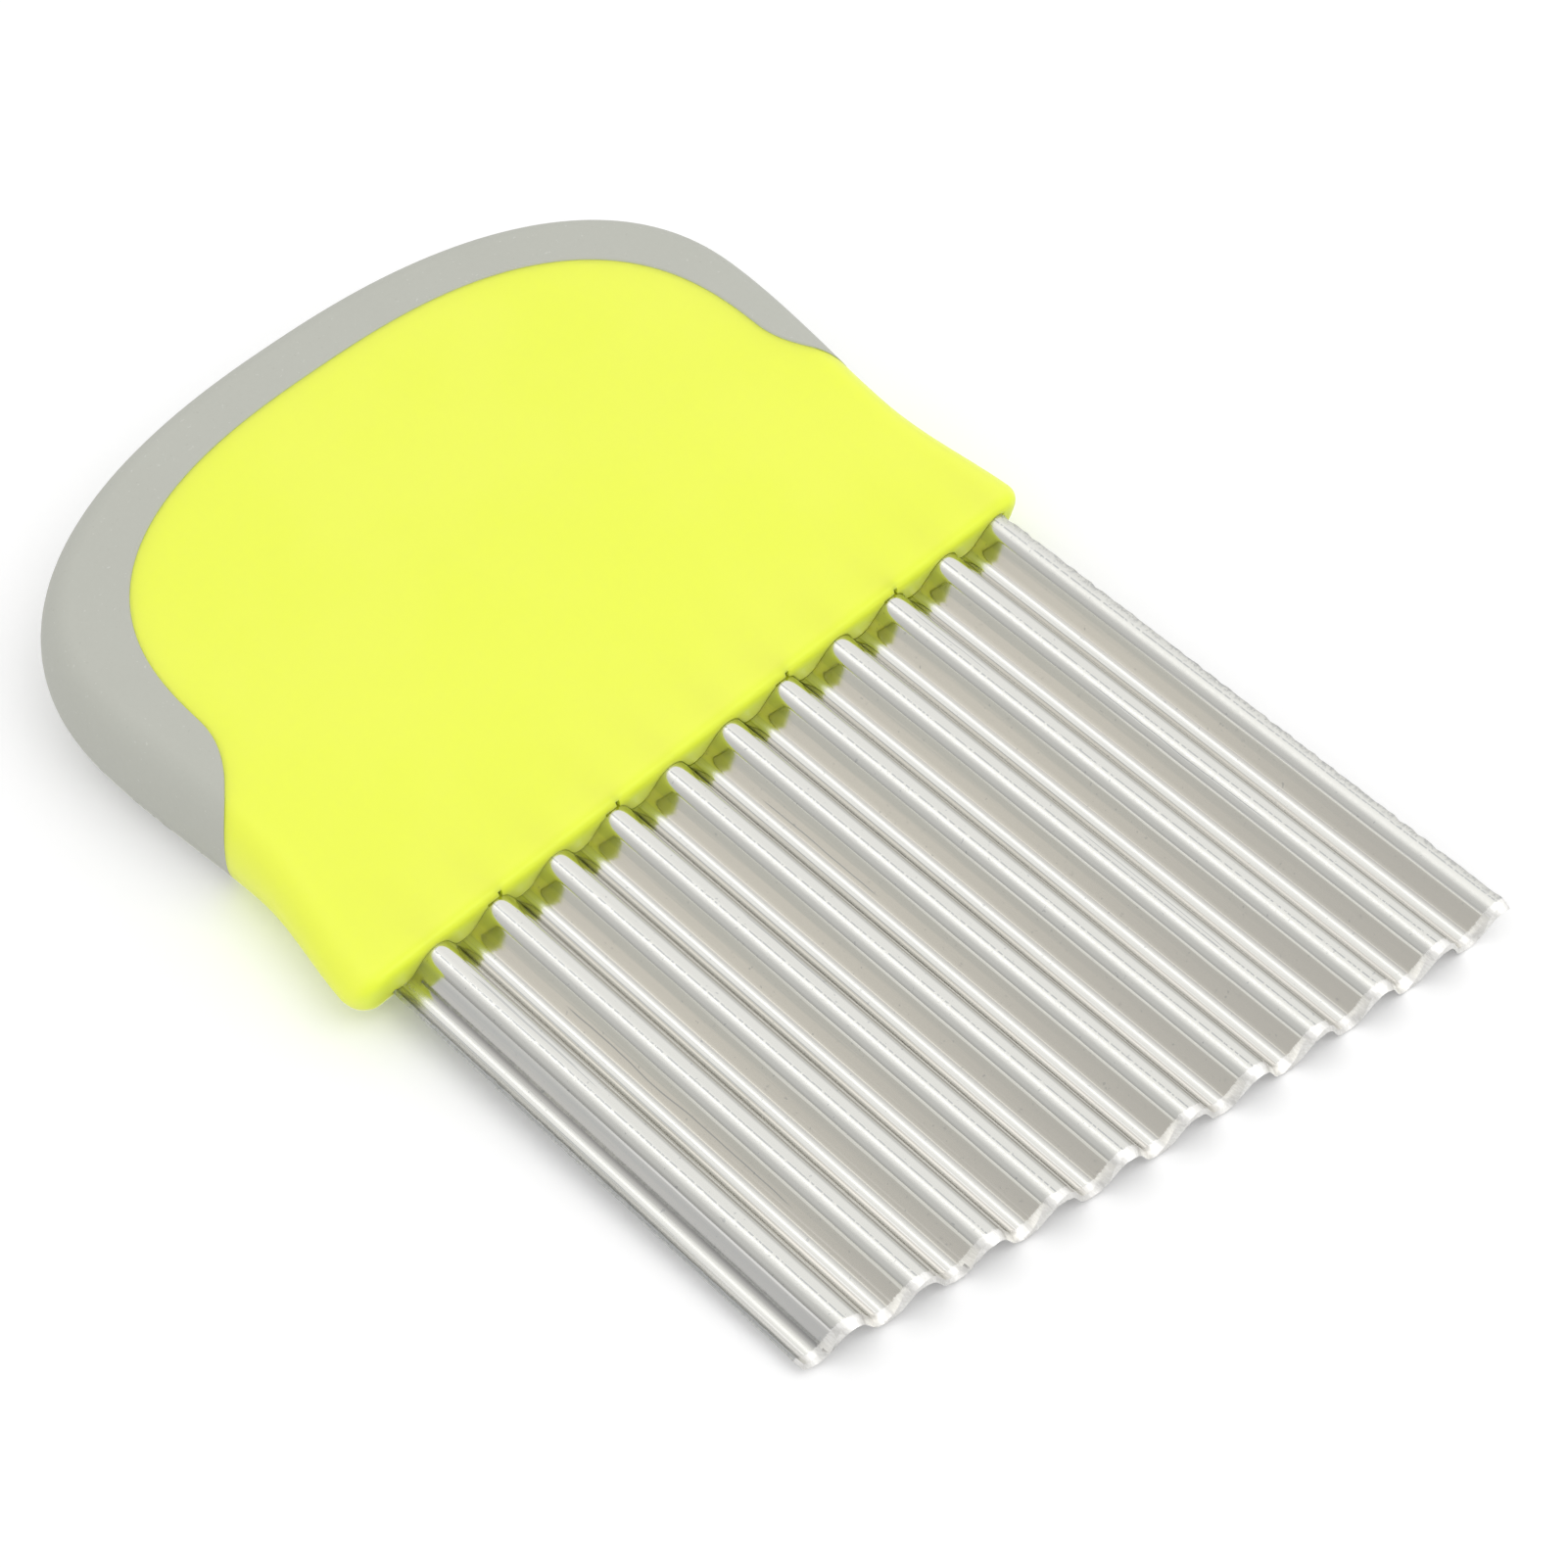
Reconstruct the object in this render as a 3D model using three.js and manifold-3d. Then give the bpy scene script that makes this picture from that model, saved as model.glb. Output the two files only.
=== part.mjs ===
// Crinkle cutter: a corrugated steel blade moulded into a plastic handle with a soft grip.
// Millimetres. +X runs along the blade's width, +Y from the cutting edge to the back of the handle, +Z up.
import * as THREE from 'three';
import { mergeVertices } from 'three/addons/utils/BufferGeometryUtils.js';
import Module from 'manifold-3d';

// Clearance between one piece and the piece that it is moulded round
const moldGap = 0.3;

// Blade
const bladeWidth = 91.7;
const sheetThickness = 0.5;
const wavePitch = 8.5;
const waveHeight = 4;
const bendRadius = 1.8;
const crestPlace = 2.6; // distance of one crest from the middle of the blade
const bladeReach = 69.6; // from the handle's lip to the cutting edge, at the middle
const edgeSkew = 9.1; // degrees; the right side of the blade is the longer one
const edgeLean = 0.12; // how much further the cutting edge reaches for each millimetre of height
const edgeBow = 1; // how far the cutting edge's ends fall back from a straight line
const bevelWidth = 1.5;
const edgeLand = 0.08; // thickness left at the cutting edge
const tangDepth = 20;
const bladeTurn = 0.7; // degrees that the blade sits askew in the handle
const bladeShift = 0.2; // and how far it sits off the handle's middle

// Anchor holes in the tang, which the handle's plastic fills
const anchorCount = 4;
const anchorSpacing = 20;
const anchorDiameter = 6;
const anchorDepth = 11; // from the lip

// Handle
const handleLength = 77.2;
const lipOverhang = 4.75; // plastic beside the blade at the lip
const neckWall = 2.45; // plastic beside the blade at the neck
const sideBulge = 1.5; // how much wider the grip is than the neck, on each side
const neckPlace = 20.5;
const widestPlace = 46;
const backFullness = 2.35; // exponent of the rounded back: 2 is an ellipse, more is squarer
const lipCover = 1.15; // plastic over the blade's crests at the lip
const bellyRise = 3.6; // how much thicker the belly is than the lip, on each face
const bellyPlace = 33.5; // where the full thickness starts
const edgeRounding = 4;
const lipRounding = 2;
const lipFlatness = 4; // exponent of the lip's section: 2 is round, more is flatter in front
const lipLean = 1.3; // how far the lower lip stands back from the upper one
const lipCornerRadius = 3;

// Small windows over some crests, where the mould held the blade
const windowCrests = [-4, -2, 1, 3]; // counted from the crest at crestPlace
const windowWidth = 2.6;
const windowHeight = 0.35;
const windowDepth = 1.6;

// Soft grip
const gripWall = 2.2;
const gripBackWidth = 9.2; // seen from above
const gripSideWidth = 7.9;
const gripStart = 24.6; // where the grip begins at the neck, from the lip
const gripWaist = 37.5; // where the green face is widest inside the grip
const faceFullness = 2.6; // exponent of the green face's rounded back
const faceShift = 1; // how far the green face sits off the handle's middle

// Facets
const arcSteps = 3;
const sideSteps = 6;
const backSteps = 14;
const cornerSteps = 3;
const roundingSteps = 4;
const holeSides = 20;
const mergeTolerance = 1e-4; // points closer than this are one

// Sizes that follow from the ones above
const bendLimit = 0.24; // share of the pitch that a bend's radius may take
const bend = Math.min(bendRadius, bendLimit * wavePitch);
const bladeHalf = bladeWidth / 2;
const waveHalf = (waveHeight + sheetThickness) / 2;
const lipHalfWidth = bladeHalf + lipOverhang;
const neckHalfWidth = bladeHalf + neckWall;
const widestHalfWidth = neckHalfWidth + sideBulge;
const lipHalfThickness = waveHalf + lipCover;
const bellyHalfThickness = lipHalfThickness + bellyRise;
const clearOfAll = 4 * bellyHalfThickness; // a reach past every face of the handle

const wasm = await Module();
wasm.setup();

// Solids and geometries

function toSolid(geometry) {
  const bare = geometry.clone();
  bare.deleteAttribute('normal');
  bare.deleteAttribute('uv');
  const merged = mergeVertices(bare, mergeTolerance);
  return new wasm.Manifold(new wasm.Mesh({
    numProp: 3,
    vertProperties: new Float32Array(merged.attributes.position.array),
    triVerts: new Uint32Array(merged.index.array),
  }));
}

function toGeometry(solid) {
  const mesh = solid.getMesh();
  const geometry = new THREE.BufferGeometry();
  geometry.setAttribute('position', new THREE.BufferAttribute(mesh.vertProperties, 3));
  geometry.setIndex(new THREE.BufferAttribute(mesh.triVerts, 1));
  geometry.computeVertexNormals();
  return geometry;
}

function indexed(points, triangles) {
  const geometry = new THREE.BufferGeometry();
  geometry.setAttribute('position', new THREE.Float32BufferAttribute(points.flat(), 3));
  geometry.setIndex(triangles.flat());
  return geometry;
}

function prism(outline, bottom, top) {
  const shape = new THREE.Shape(outline.map(([x, y]) => new THREE.Vector2(x, y)));
  const geometry = new THREE.ExtrudeGeometry(shape, { depth: top - bottom, bevelEnabled: false });
  return geometry.translate(0, 0, bottom);
}

function upright(diameter, height, x, y) {
  const geometry = new THREE.CylinderGeometry(diameter / 2, diameter / 2, height, holeSides);
  return geometry.rotateX(Math.PI / 2).translate(x, y, 0);
}

// The wave: round crests and troughs of one radius, joined by straight flanks

const centreRise = waveHeight - 2 * bend;
const flankAngle = Math.atan2(centreRise, wavePitch / 2)
  + Math.asin(2 * bend / Math.hypot(wavePitch / 2, centreRise));
const arcReach = bend * Math.sin(flankAngle);

// Height and slope angle of the sheet's middle surface at a place along the width
function waveAt(x) {
  const turns = (x - crestPlace) / wavePitch;
  const fromCrest = (turns - Math.round(turns)) * wavePitch;
  const side = Math.sign(fromCrest);
  const u = Math.abs(fromCrest);
  const v = wavePitch / 2 - u;
  if (u < arcReach) {
    const angle = Math.asin(u / bend);
    return { z: waveHeight / 2 - bend * (1 - Math.cos(angle)), slope: -side * angle };
  }
  if (v < arcReach) {
    const angle = Math.asin(v / bend);
    return { z: -waveHeight / 2 + bend * (1 - Math.cos(angle)), slope: -side * angle };
  }
  const drop = bend * (1 - Math.cos(flankAngle)) + (u - arcReach) * Math.tan(flankAngle);
  return { z: waveHeight / 2 - drop, slope: -side * flankAngle };
}

// Places along the width where the wave is sampled: the two ends, and the bends well between them
function wavePlaces(half) {
  const places = [-half, half];
  const clearOfEnds = half - sheetThickness / 4;
  const lastCrest = Math.ceil((half + Math.abs(crestPlace)) / wavePitch) + 1;
  for (let crest = -lastCrest; crest <= lastCrest; crest += 0.5) {
    for (let step = -arcSteps; step <= arcSteps; step += 1) {
      const x = crestPlace + crest * wavePitch + bend * Math.sin(flankAngle * step / arcSteps);
      if (Math.abs(x) < clearOfEnds) places.push(x);
    }
  }
  return places.sort((a, b) => a - b);
}

// A corrugated slab: at each place its section is a loop of [offset from the middle surface, y]
function waveSlab(half, section) {
  const points = [];
  const triangles = [];
  const places = wavePlaces(half);
  const sides = section(0).length;
  for (const x of places) {
    const { z, slope } = waveAt(x);
    for (const [offset, y] of section(x)) {
      points.push([x - offset * Math.sin(slope), y, z + offset * Math.cos(slope)]);
    }
  }
  for (let row = 0; row < places.length - 1; row += 1) {
    for (let side = 0; side < sides; side += 1) {
      const a = row * sides + side;
      const b = row * sides + (side + 1) % sides;
      triangles.push([a, b, b + sides], [a, b + sides, a + sides]);
    }
  }
  const last = (places.length - 1) * sides;
  for (let side = 1; side < sides - 1; side += 1) {
    triangles.push([0, side + 1, side], [last, last + side, last + side + 1]);
  }
  return indexed(points, triangles);
}

// The blade

function edgeAt(x) {
  const skewed = -bladeReach - Math.tan(THREE.MathUtils.degToRad(edgeSkew)) * x;
  return skewed + edgeBow * (x / bladeHalf) ** 2 - edgeLean * waveAt(x).z;
}

// The blade and the space for it, set into the handle
function seated(solid) {
  return solid.rotate([0, 0, bladeTurn]).translate([bladeShift, 0, 0]);
}

function anchors(diameter) {
  const height = 2 * clearOfAll;
  const first = -(anchorCount - 1) / 2 * anchorSpacing;
  return Array.from({ length: anchorCount }, (_, i) => {
    return toSolid(upright(diameter, height, first + i * anchorSpacing, anchorDepth));
  });
}

function makeBlade() {
  const half = sheetThickness / 2;
  const sheet = waveSlab(bladeHalf, (x) => [
    [half, tangDepth],
    [half, edgeAt(x) + bevelWidth],
    [edgeLand - half, edgeAt(x)],
    [-half, edgeAt(x)],
    [-half, tangDepth],
  ]);
  let blade = toSolid(sheet);
  for (const hole of anchors(anchorDiameter)) blade = blade.subtract(hole);
  return seated(blade);
}

// The handle's outer form

// Half width of the handle's side at a distance from the lip, up to its widest place
function sideHalfWidth(y) {
  if (y < neckPlace) {
    const flare = (1 + Math.cos(Math.PI * y / neckPlace)) / 2;
    return neckHalfWidth + (lipHalfWidth - neckHalfWidth) * flare;
  }
  const swell = (1 - Math.cos(Math.PI * (y - neckPlace) / (widestPlace - neckPlace))) / 2;
  return neckHalfWidth + sideBulge * swell;
}

// Rounded end of an outline, from its widest place to the middle of its back
function roundedBack(halfWidth, widest, back, fullness) {
  return Array.from({ length: backSteps }, (_, i) => {
    const angle = (i + 1) / backSteps * Math.PI / 2;
    const across = Math.cos(angle) ** (2 / fullness);
    const along = Math.sin(angle) ** (2 / fullness);
    return [i === backSteps - 1 ? 0 : halfWidth * across, widest + (back - widest) * along];
  });
}

// Right half of the outline, from the lip's corner to the middle of the back, drawn in by an inset
function handleHalf(inset, lipInset) {
  const corner = lipCornerRadius * lipCornerRadius / (lipCornerRadius + inset);
  const points = [];
  const cornerEnd = lipInset + corner;
  const cornerWidth = sideHalfWidth(cornerEnd) - inset;
  for (let i = 0; i < cornerSteps; i += 1) {
    const angle = i / cornerSteps * Math.PI / 2;
    points.push([cornerWidth - corner * (1 - Math.sin(angle)), cornerEnd - corner * Math.cos(angle)]);
  }
  const stretches = [[cornerEnd, neckPlace], [neckPlace, widestPlace]];
  for (const [from, to] of stretches) {
    for (let i = 0; i < sideSteps; i += 1) {
      const y = from + (to - from) * i / sideSteps;
      points.push([sideHalfWidth(y) - inset, y]);
    }
  }
  points.push([widestHalfWidth - inset, widestPlace]);
  const back = roundedBack(widestHalfWidth - inset, widestPlace, handleLength - inset, backFullness);
  return points.concat(back);
}

// How far the lip's front stands back at a height, given as a share of the lip's half thickness
function lipSection(height) {
  const round = 1 - (1 - Math.abs(height) ** lipFlatness) ** (1 / lipFlatness);
  return lipRounding * round + lipLean * (1 - height) / 2;
}

// Height of the lip's foremost line, where rounding and lean balance
function noseHeight() {
  const balance = (lipLean / 2 / lipRounding) ** (1 / (lipFlatness - 1));
  return balance / (1 + balance ** lipFlatness) ** (1 / lipFlatness);
}

// Half thickness of the handle at a distance from the lip
function halfThickness(y) {
  const rise = THREE.MathUtils.smoothstep(y, 0, bellyPlace);
  return lipHalfThickness + bellyRise * rise;
}

// The handle's form, smaller all round by a shrink: rounded edges and a face ruled from side to side
function handleForm(shrink) {
  const rings = [];
  for (let step = -roundingSteps; step <= roundingSteps; step += 1) {
    const angle = step / roundingSteps * Math.PI / 2;
    const drawnIn = 1 - Math.cos(angle);
    const lipInset = lipSection(Math.sin(angle)) - lipSection(noseHeight());
    const half = handleHalf(shrink + edgeRounding * drawnIn, shrink + lipInset);
    const left = half.slice(0, -1).reverse().map(([x, y]) => [-x, y]);
    const height = (y) => (halfThickness(y) - shrink) * Math.sin(angle);
    rings.push(half.concat(left).map(([x, y]) => [x, y, height(y)]));
  }
  const count = rings[0].length;
  const triangles = [];
  for (let ring = 0; ring < rings.length - 1; ring += 1) {
    for (let i = 0; i < count; i += 1) {
      const a = ring * count + i;
      const b = ring * count + (i + 1) % count;
      triangles.push([a, b, b + count], [a, b + count, a + count]);
    }
  }
  const top = (rings.length - 1) * count;
  const back = (count - 1) / 2;
  for (let i = 0; i < back; i += 1) {
    const mirrored = count - 1 - i;
    triangles.push([top + i, top + i + 1, top + mirrored], [i, mirrored, i + 1]);
    if (i + 1 < back) {
      triangles.push([top + i + 1, top + mirrored - 1, top + mirrored], [i + 1, mirrored, mirrored - 1]);
    }
  }
  return toSolid(indexed(rings.flat(), triangles));
}

// Everything in front of the grip's inner edge, as an upright prism that is larger by a margin
function faceInsideGrip(margin) {
  const halfWidth = widestHalfWidth - gripSideWidth + margin;
  const start = gripStart + margin;
  const flare = [];
  for (let i = 0; i < sideSteps; i += 1) {
    const share = i / sideSteps;
    const x = halfWidth + (widestHalfWidth - halfWidth) * (1 - share) ** 2;
    flare.push([x, start + (gripWaist - start) * share]);
  }
  const back = roundedBack(halfWidth, gripWaist, handleLength - gripBackWidth + margin, faceFullness);
  const right = [
    [widestHalfWidth + clearOfAll, -clearOfAll],
    [widestHalfWidth + clearOfAll, start],
    ...flare,
    [halfWidth, gripWaist],
    ...back,
  ];
  const left = right.slice(0, -1).reverse().map(([x, y]) => [-x, y]);
  const outline = right.concat(left).map(([x, y]) => [x + faceShift, y]);
  return toSolid(prism(outline, -clearOfAll, clearOfAll));
}

// The space that the tang takes in the handle, with the anchor pegs left standing in it
function tangSpace() {
  const half = sheetThickness / 2 + moldGap;
  const back = tangDepth + moldGap;
  const front = -lipRounding;
  let space = toSolid(waveSlab(bladeHalf + moldGap, () => [
    [half, back],
    [half, front],
    [-half, front],
    [-half, back],
  ]));
  for (const peg of anchors(anchorDiameter - 2 * moldGap)) space = space.subtract(peg);
  const windowLength = windowDepth + lipRounding;
  const windowBottom = waveHeight / 2;
  const windowTop = waveHalf + moldGap + windowHeight;
  for (const crest of windowCrests) {
    const pocket = new THREE.BoxGeometry(windowWidth, windowLength, windowTop - windowBottom);
    const x = crestPlace + crest * wavePitch;
    pocket.translate(x, windowDepth - windowLength / 2, (windowTop + windowBottom) / 2);
    space = space.add(toSolid(pocket));
  }
  return seated(space);
}

const handle = handleForm(0);
const tongue = handleForm(gripWall);
const tongueSpace = handleForm(gripWall - moldGap);

function makeHandleBody() {
  const face = handle.intersect(faceInsideGrip(0));
  return face.add(tongue).subtract(tangSpace());
}

function makeSoftGrip() {
  return handle.subtract(faceInsideGrip(moldGap)).subtract(tongueSpace);
}

// Materials

const brushedSteel = new THREE.MeshStandardMaterial({ color: 0xc8c7c2, roughness: 0.28, metalness: 1 });
const limePlastic = new THREE.MeshStandardMaterial({ color: 0xeffb65, roughness: 0.38, metalness: 0 });
const greyRubber = new THREE.MeshStandardMaterial({ color: 0xbec0b6, roughness: 0.75, metalness: 0 });

// Assembly: the origin is under the middle of the whole cutter, where it stands

function named(name, solid, material) {
  const mesh = new THREE.Mesh(toGeometry(solid), material);
  mesh.name = name;
  return mesh;
}

const blade = makeBlade();
const group = new THREE.Group();
group.add(named('corrugated_blade', blade, brushedSteel));
group.add(named('handle_body', makeHandleBody(), limePlastic));
group.add(named('soft_grip', makeSoftGrip(), greyRubber));

const frontReach = blade.boundingBox().min[1];
group.position.set(0, -(frontReach + handleLength) / 2, bellyHalfThickness);

export default group;
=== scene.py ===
import math

import bmesh
import bpy
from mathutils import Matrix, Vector, noise


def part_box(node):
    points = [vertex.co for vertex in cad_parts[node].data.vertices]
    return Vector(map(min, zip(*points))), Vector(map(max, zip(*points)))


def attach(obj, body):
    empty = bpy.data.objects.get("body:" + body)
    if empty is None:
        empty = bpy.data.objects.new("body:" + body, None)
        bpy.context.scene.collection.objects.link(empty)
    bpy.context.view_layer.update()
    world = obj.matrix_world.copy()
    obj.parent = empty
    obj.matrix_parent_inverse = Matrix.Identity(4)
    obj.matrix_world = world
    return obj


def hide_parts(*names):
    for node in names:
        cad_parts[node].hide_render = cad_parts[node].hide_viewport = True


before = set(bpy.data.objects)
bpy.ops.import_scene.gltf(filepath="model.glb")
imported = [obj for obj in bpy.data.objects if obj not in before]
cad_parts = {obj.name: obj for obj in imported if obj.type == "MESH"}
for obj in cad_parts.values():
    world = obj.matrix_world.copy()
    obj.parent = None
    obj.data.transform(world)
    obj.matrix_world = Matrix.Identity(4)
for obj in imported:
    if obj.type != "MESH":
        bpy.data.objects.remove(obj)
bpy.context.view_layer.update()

mm = 0.001
hair = 1e-7  # points closer than this are in one place
bodyLow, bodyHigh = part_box("handle_body")
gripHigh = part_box("soft_grip")[1]

# every piece is drawn in millimetres from the middle of the handle's lip
lipMiddle = Vector((0, bodyLow.y, (bodyLow.z + bodyHigh.z) / 2))


def spot(x, y, z):
    return lipMiddle + Vector((x, y, z)) * mm


def local(point):
    return (point - lipMiddle) / mm


# modelling moves shared by the pieces

def clearSelection():
    bpy.ops.object.select_all(action="DESELECT")


def editMesh():
    return bmesh.from_edit_mesh(bpy.context.object.data)


def showEdit():
    bmesh.update_edit_mesh(bpy.context.object.data)


def startVertex(name, point):
    clearSelection()
    bpy.ops.mesh.primitive_plane_add(size=mm)
    bpy.context.object.name = name
    bpy.ops.object.mode_set(mode="EDIT")
    bpy.ops.mesh.merge(type="CENTER")
    bpy.ops.transform.translate(value=point)
    return bpy.context.object


def extrudeBy(x, y, z):
    bpy.ops.mesh.extrude_region_move(TRANSFORM_OT_translate={"value": Vector((x, y, z)) * mm})


def bisectAt(point, normal, cutAway):
    bpy.ops.mesh.select_all(action="SELECT")
    bpy.ops.mesh.bisect(plane_co=point, plane_no=normal, clear_outer=cutAway, threshold=hair)


def setRing(points):
    mesh = editMesh()
    number = mesh.verts.layers.int["ringSpot"]
    for vert in mesh.verts:
        if vert.select:
            vert.co = points[vert[number]]
    showEdit()


def loft(name, rings):  # a circle shaped to the first ring, then extruded from ring to ring
    clearSelection()
    bpy.ops.mesh.primitive_circle_add(vertices=len(rings[0]), radius=mm)
    piece = bpy.context.object
    piece.name = name
    bpy.ops.object.mode_set(mode="EDIT")
    mesh = editMesh()
    number = mesh.verts.layers.int.new("ringSpot")
    for index, vert in enumerate(mesh.verts):
        vert[number] = index
    setRing(rings[0])
    for ring in rings[1:]:
        bpy.ops.mesh.extrude_edges_move()
        setRing(ring)
    return piece


def closeShape():
    bpy.ops.mesh.select_all(action="SELECT")
    bpy.ops.mesh.fill_holes(sides=0)
    bpy.ops.mesh.select_all(action="SELECT")
    bpy.ops.mesh.normals_make_consistent(inside=False)
    bpy.ops.object.mode_set(mode="OBJECT")


def applyModifier(piece, kind, settings):
    bpy.context.view_layer.objects.active = piece
    step = piece.modifiers.new("step", kind)
    for key, value in settings.items():
        setattr(step, key, value)
    bpy.ops.object.modifier_apply(modifier=step.name)


def carve(piece, tool, how):
    applyModifier(piece, "BOOLEAN", {"operation": how, "object": tool, "solver": "EXACT"})


def smoothShade(piece, degrees):
    clearSelection()
    piece.select_set(True)
    bpy.context.view_layer.objects.active = piece
    bpy.ops.object.shade_smooth_by_angle(angle=math.radians(degrees), keep_sharp_edges=True)


def dress(piece, node, finish):
    piece.data.materials.clear()
    piece.data.materials.append(finish)
    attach(piece, "root")
    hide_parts(node)


# shader maths: a wire is one socket, and sums of wires add their nodes

class Wire:
    def __init__(self, tree, socket):
        self.tree = tree
        self.socket = socket

    def node(self, kind, settings, feeds, output=0):
        made = self.tree.nodes.new(kind)
        for key, value in settings.items():
            setattr(made, key, value)
        for key, value in feeds.items():
            if isinstance(value, Wire):
                self.tree.links.new(value.socket, made.inputs[key])
            else:
                made.inputs[key].default_value = value
        return Wire(self.tree, made.outputs[output])

    def math(self, operation, *values):
        return self.node("ShaderNodeMath", {"operation": operation}, dict(enumerate(values)))

    def __add__(self, other):
        return self.math("ADD", self, other)

    __radd__ = __add__

    def __sub__(self, other):
        return self.math("SUBTRACT", self, other)

    def __rsub__(self, other):
        return self.math("SUBTRACT", other, self)

    def __mul__(self, other):
        return self.math("MULTIPLY", self, other)

    __rmul__ = __mul__

    def __truediv__(self, other):
        return self.math("DIVIDE", self, other)

    def __abs__(self):
        return self.math("ABSOLUTE", self)

    def part(self, index):
        return self.node("ShaderNodeSeparateXYZ", {}, {0: self}, index)

    def seenFrom(self, point, turn):  # in millimetres from that point, along axes turned about Z
        feeds = {"Vector": self, "Location": point, "Rotation": (0, 0, turn), "Scale": (mm, mm, mm)}
        return self.node("ShaderNodeMapping", {"vector_type": "TEXTURE"}, feeds)

    def between(self, low, high):  # 0 below low, 1 above high, smooth in between
        settings = {"interpolation_type": "SMOOTHSTEP"}
        return self.node("ShaderNodeMapRange", settings, {0: self, 1: low, 2: high, 3: 0.0, 4: 1.0})

    def line(self, width):  # 1 where the wire is near zero
        return 1 - abs(self).between(width / 2, width)

    def near(self, place, span):  # 1 about the place, and 0 past the span's end on either side
        return 1 - abs(self - place).between(*span)

    def fromNearest(self, spacing):  # signed distance from the nearest multiple of the spacing
        turns = self / spacing
        return (turns - turns.math("ROUND", turns)) * spacing

    def speckle(self, scale, detail=2.0, roughness=0.5, stretch=(1, 1, 1)):
        place = self.node("ShaderNodeVectorMath", {"operation": "MULTIPLY"}, {0: self, 1: stretch})
        feeds = {"Vector": place, "Scale": scale, "Detail": detail, "Roughness": roughness}
        return self.node("ShaderNodeTexNoise", {}, feeds)

    def mixColour(self, first, second):
        return self.node("ShaderNodeMix", {"data_type": "RGBA"}, {0: self, 6: first, 7: second}, 2)

    def bump(self):  # the wire is a height in millimetres
        return self.node("ShaderNodeBump", {}, {"Strength": 1.0, "Distance": mm, "Height": self})


def newFinish(name):
    finish = bpy.data.materials.new(name)
    finish.use_nodes = True
    tree = finish.node_tree
    coords = tree.nodes.new("ShaderNodeTexCoord").outputs["Object"]
    return finish, tree.nodes["Principled BSDF"], Wire(tree, coords)


def feed(shader, values):
    for key, value in values.items():
        if isinstance(value, Wire):
            value.tree.links.new(value.socket, shader.inputs[key])
        else:
            shader.inputs[key].default_value = value


# the corrugated blade

blade = {
    "width": 91.7,
    "thickness": 0.5,
    "pitch": 8.5,
    "height": 4.0,  # of the sheet's middle, trough to crest
    "bend": 1.8,
    "crest": 2.6,  # place of the sixth crest
    "crestsEachSide": 6,
    "reach": 69.6,
    "skew": 9.1,
    "lean": 0.12,  # the edge reaches further for each millimetre of height
    "bow": 1.0,
    "bowDepth": 25.0,
    "grind": 1.5,
    "land": 0.08,
    "tang": 20.0,
    "turn": 0.7,  # the blade sits a little askew in the handle
    "shift": 0.2,
    "bendSteps": 9,
    "rows": 110,
    "nick": 0.07,  # dents in the cutting edge
    "nickFineness": 1.7,
    "edgeHair": 0.01,  # how near a point of the cutting edge is to its line
    "burr": 0.22,  # dents in the sides
    "burrDepth": 0.8,
    "burrFineness": 0.8,
    "burrBias": 0.3,
    "sharpAngle": 32,
}
halfWidth = blade["width"] / 2
halfSheet = blade["thickness"] / 2
skewSlope = math.tan(math.radians(blade["skew"]))
centreRise = blade["height"] - 2 * blade["bend"]
bendSpan = math.hypot(blade["pitch"] / 2, centreRise)
flankAngle = math.atan2(centreRise, blade["pitch"] / 2) + math.asin(2 * blade["bend"] / bendSpan)
flankRun = blade["pitch"] / 2 - 2 * blade["bend"] * math.sin(flankAngle)
flankRise = flankRun * math.tan(flankAngle)
waveFront = -blade["reach"] - skewSlope * halfWidth - 2 * blade["grind"]


def turnBend(x, z, angle):
    bpy.ops.mesh.spin(steps=blade["bendSteps"], angle=angle, center=spot(x, waveFront, z), axis=(0, 1, 0))


def drawWave(name, below):  # the line that lies that far below the sheet's middle
    first = blade["crest"] - (blade["crestsEachSide"] + 0.5) * blade["pitch"]
    bendHeight = blade["height"] / 2 - blade["bend"]
    piece = startVertex(name, spot(first, waveFront, -blade["height"] / 2 - below))
    for wave in range(2 * blade["crestsEachSide"]):
        trough = first + wave * blade["pitch"]
        turnBend(trough, -bendHeight, flankAngle if wave == 0 else 2 * flankAngle)
        extrudeBy(flankRun, 0, flankRise)
        turnBend(trough + blade["pitch"] / 2, bendHeight, -2 * flankAngle)
        extrudeBy(flankRun, 0, -flankRise)
    return piece


def drawSheet(name, below, reach, rows):
    piece = drawWave(name, below)
    bpy.ops.mesh.select_all(action="SELECT")
    for row in range(rows):
        extrudeBy(0, (reach - waveFront) / rows, 0)
    bpy.ops.mesh.select_all(action="SELECT")
    if sum(face.normal.z for face in editMesh().faces) < 0:
        bpy.ops.mesh.flip_normals()
    return piece


def edgeLine(x, z):
    return -blade["reach"] - skewSlope * x - blade["lean"] * z


def seat():  # turns and shifts the drawn sheet as it sits in the handle
    bpy.ops.mesh.select_all(action="SELECT")
    turn = math.radians(blade["turn"])
    bpy.ops.transform.rotate(value=-turn, orient_axis="Z", center_override=lipMiddle)
    bpy.ops.transform.translate(value=(blade["shift"] * mm, 0, 0))


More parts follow.
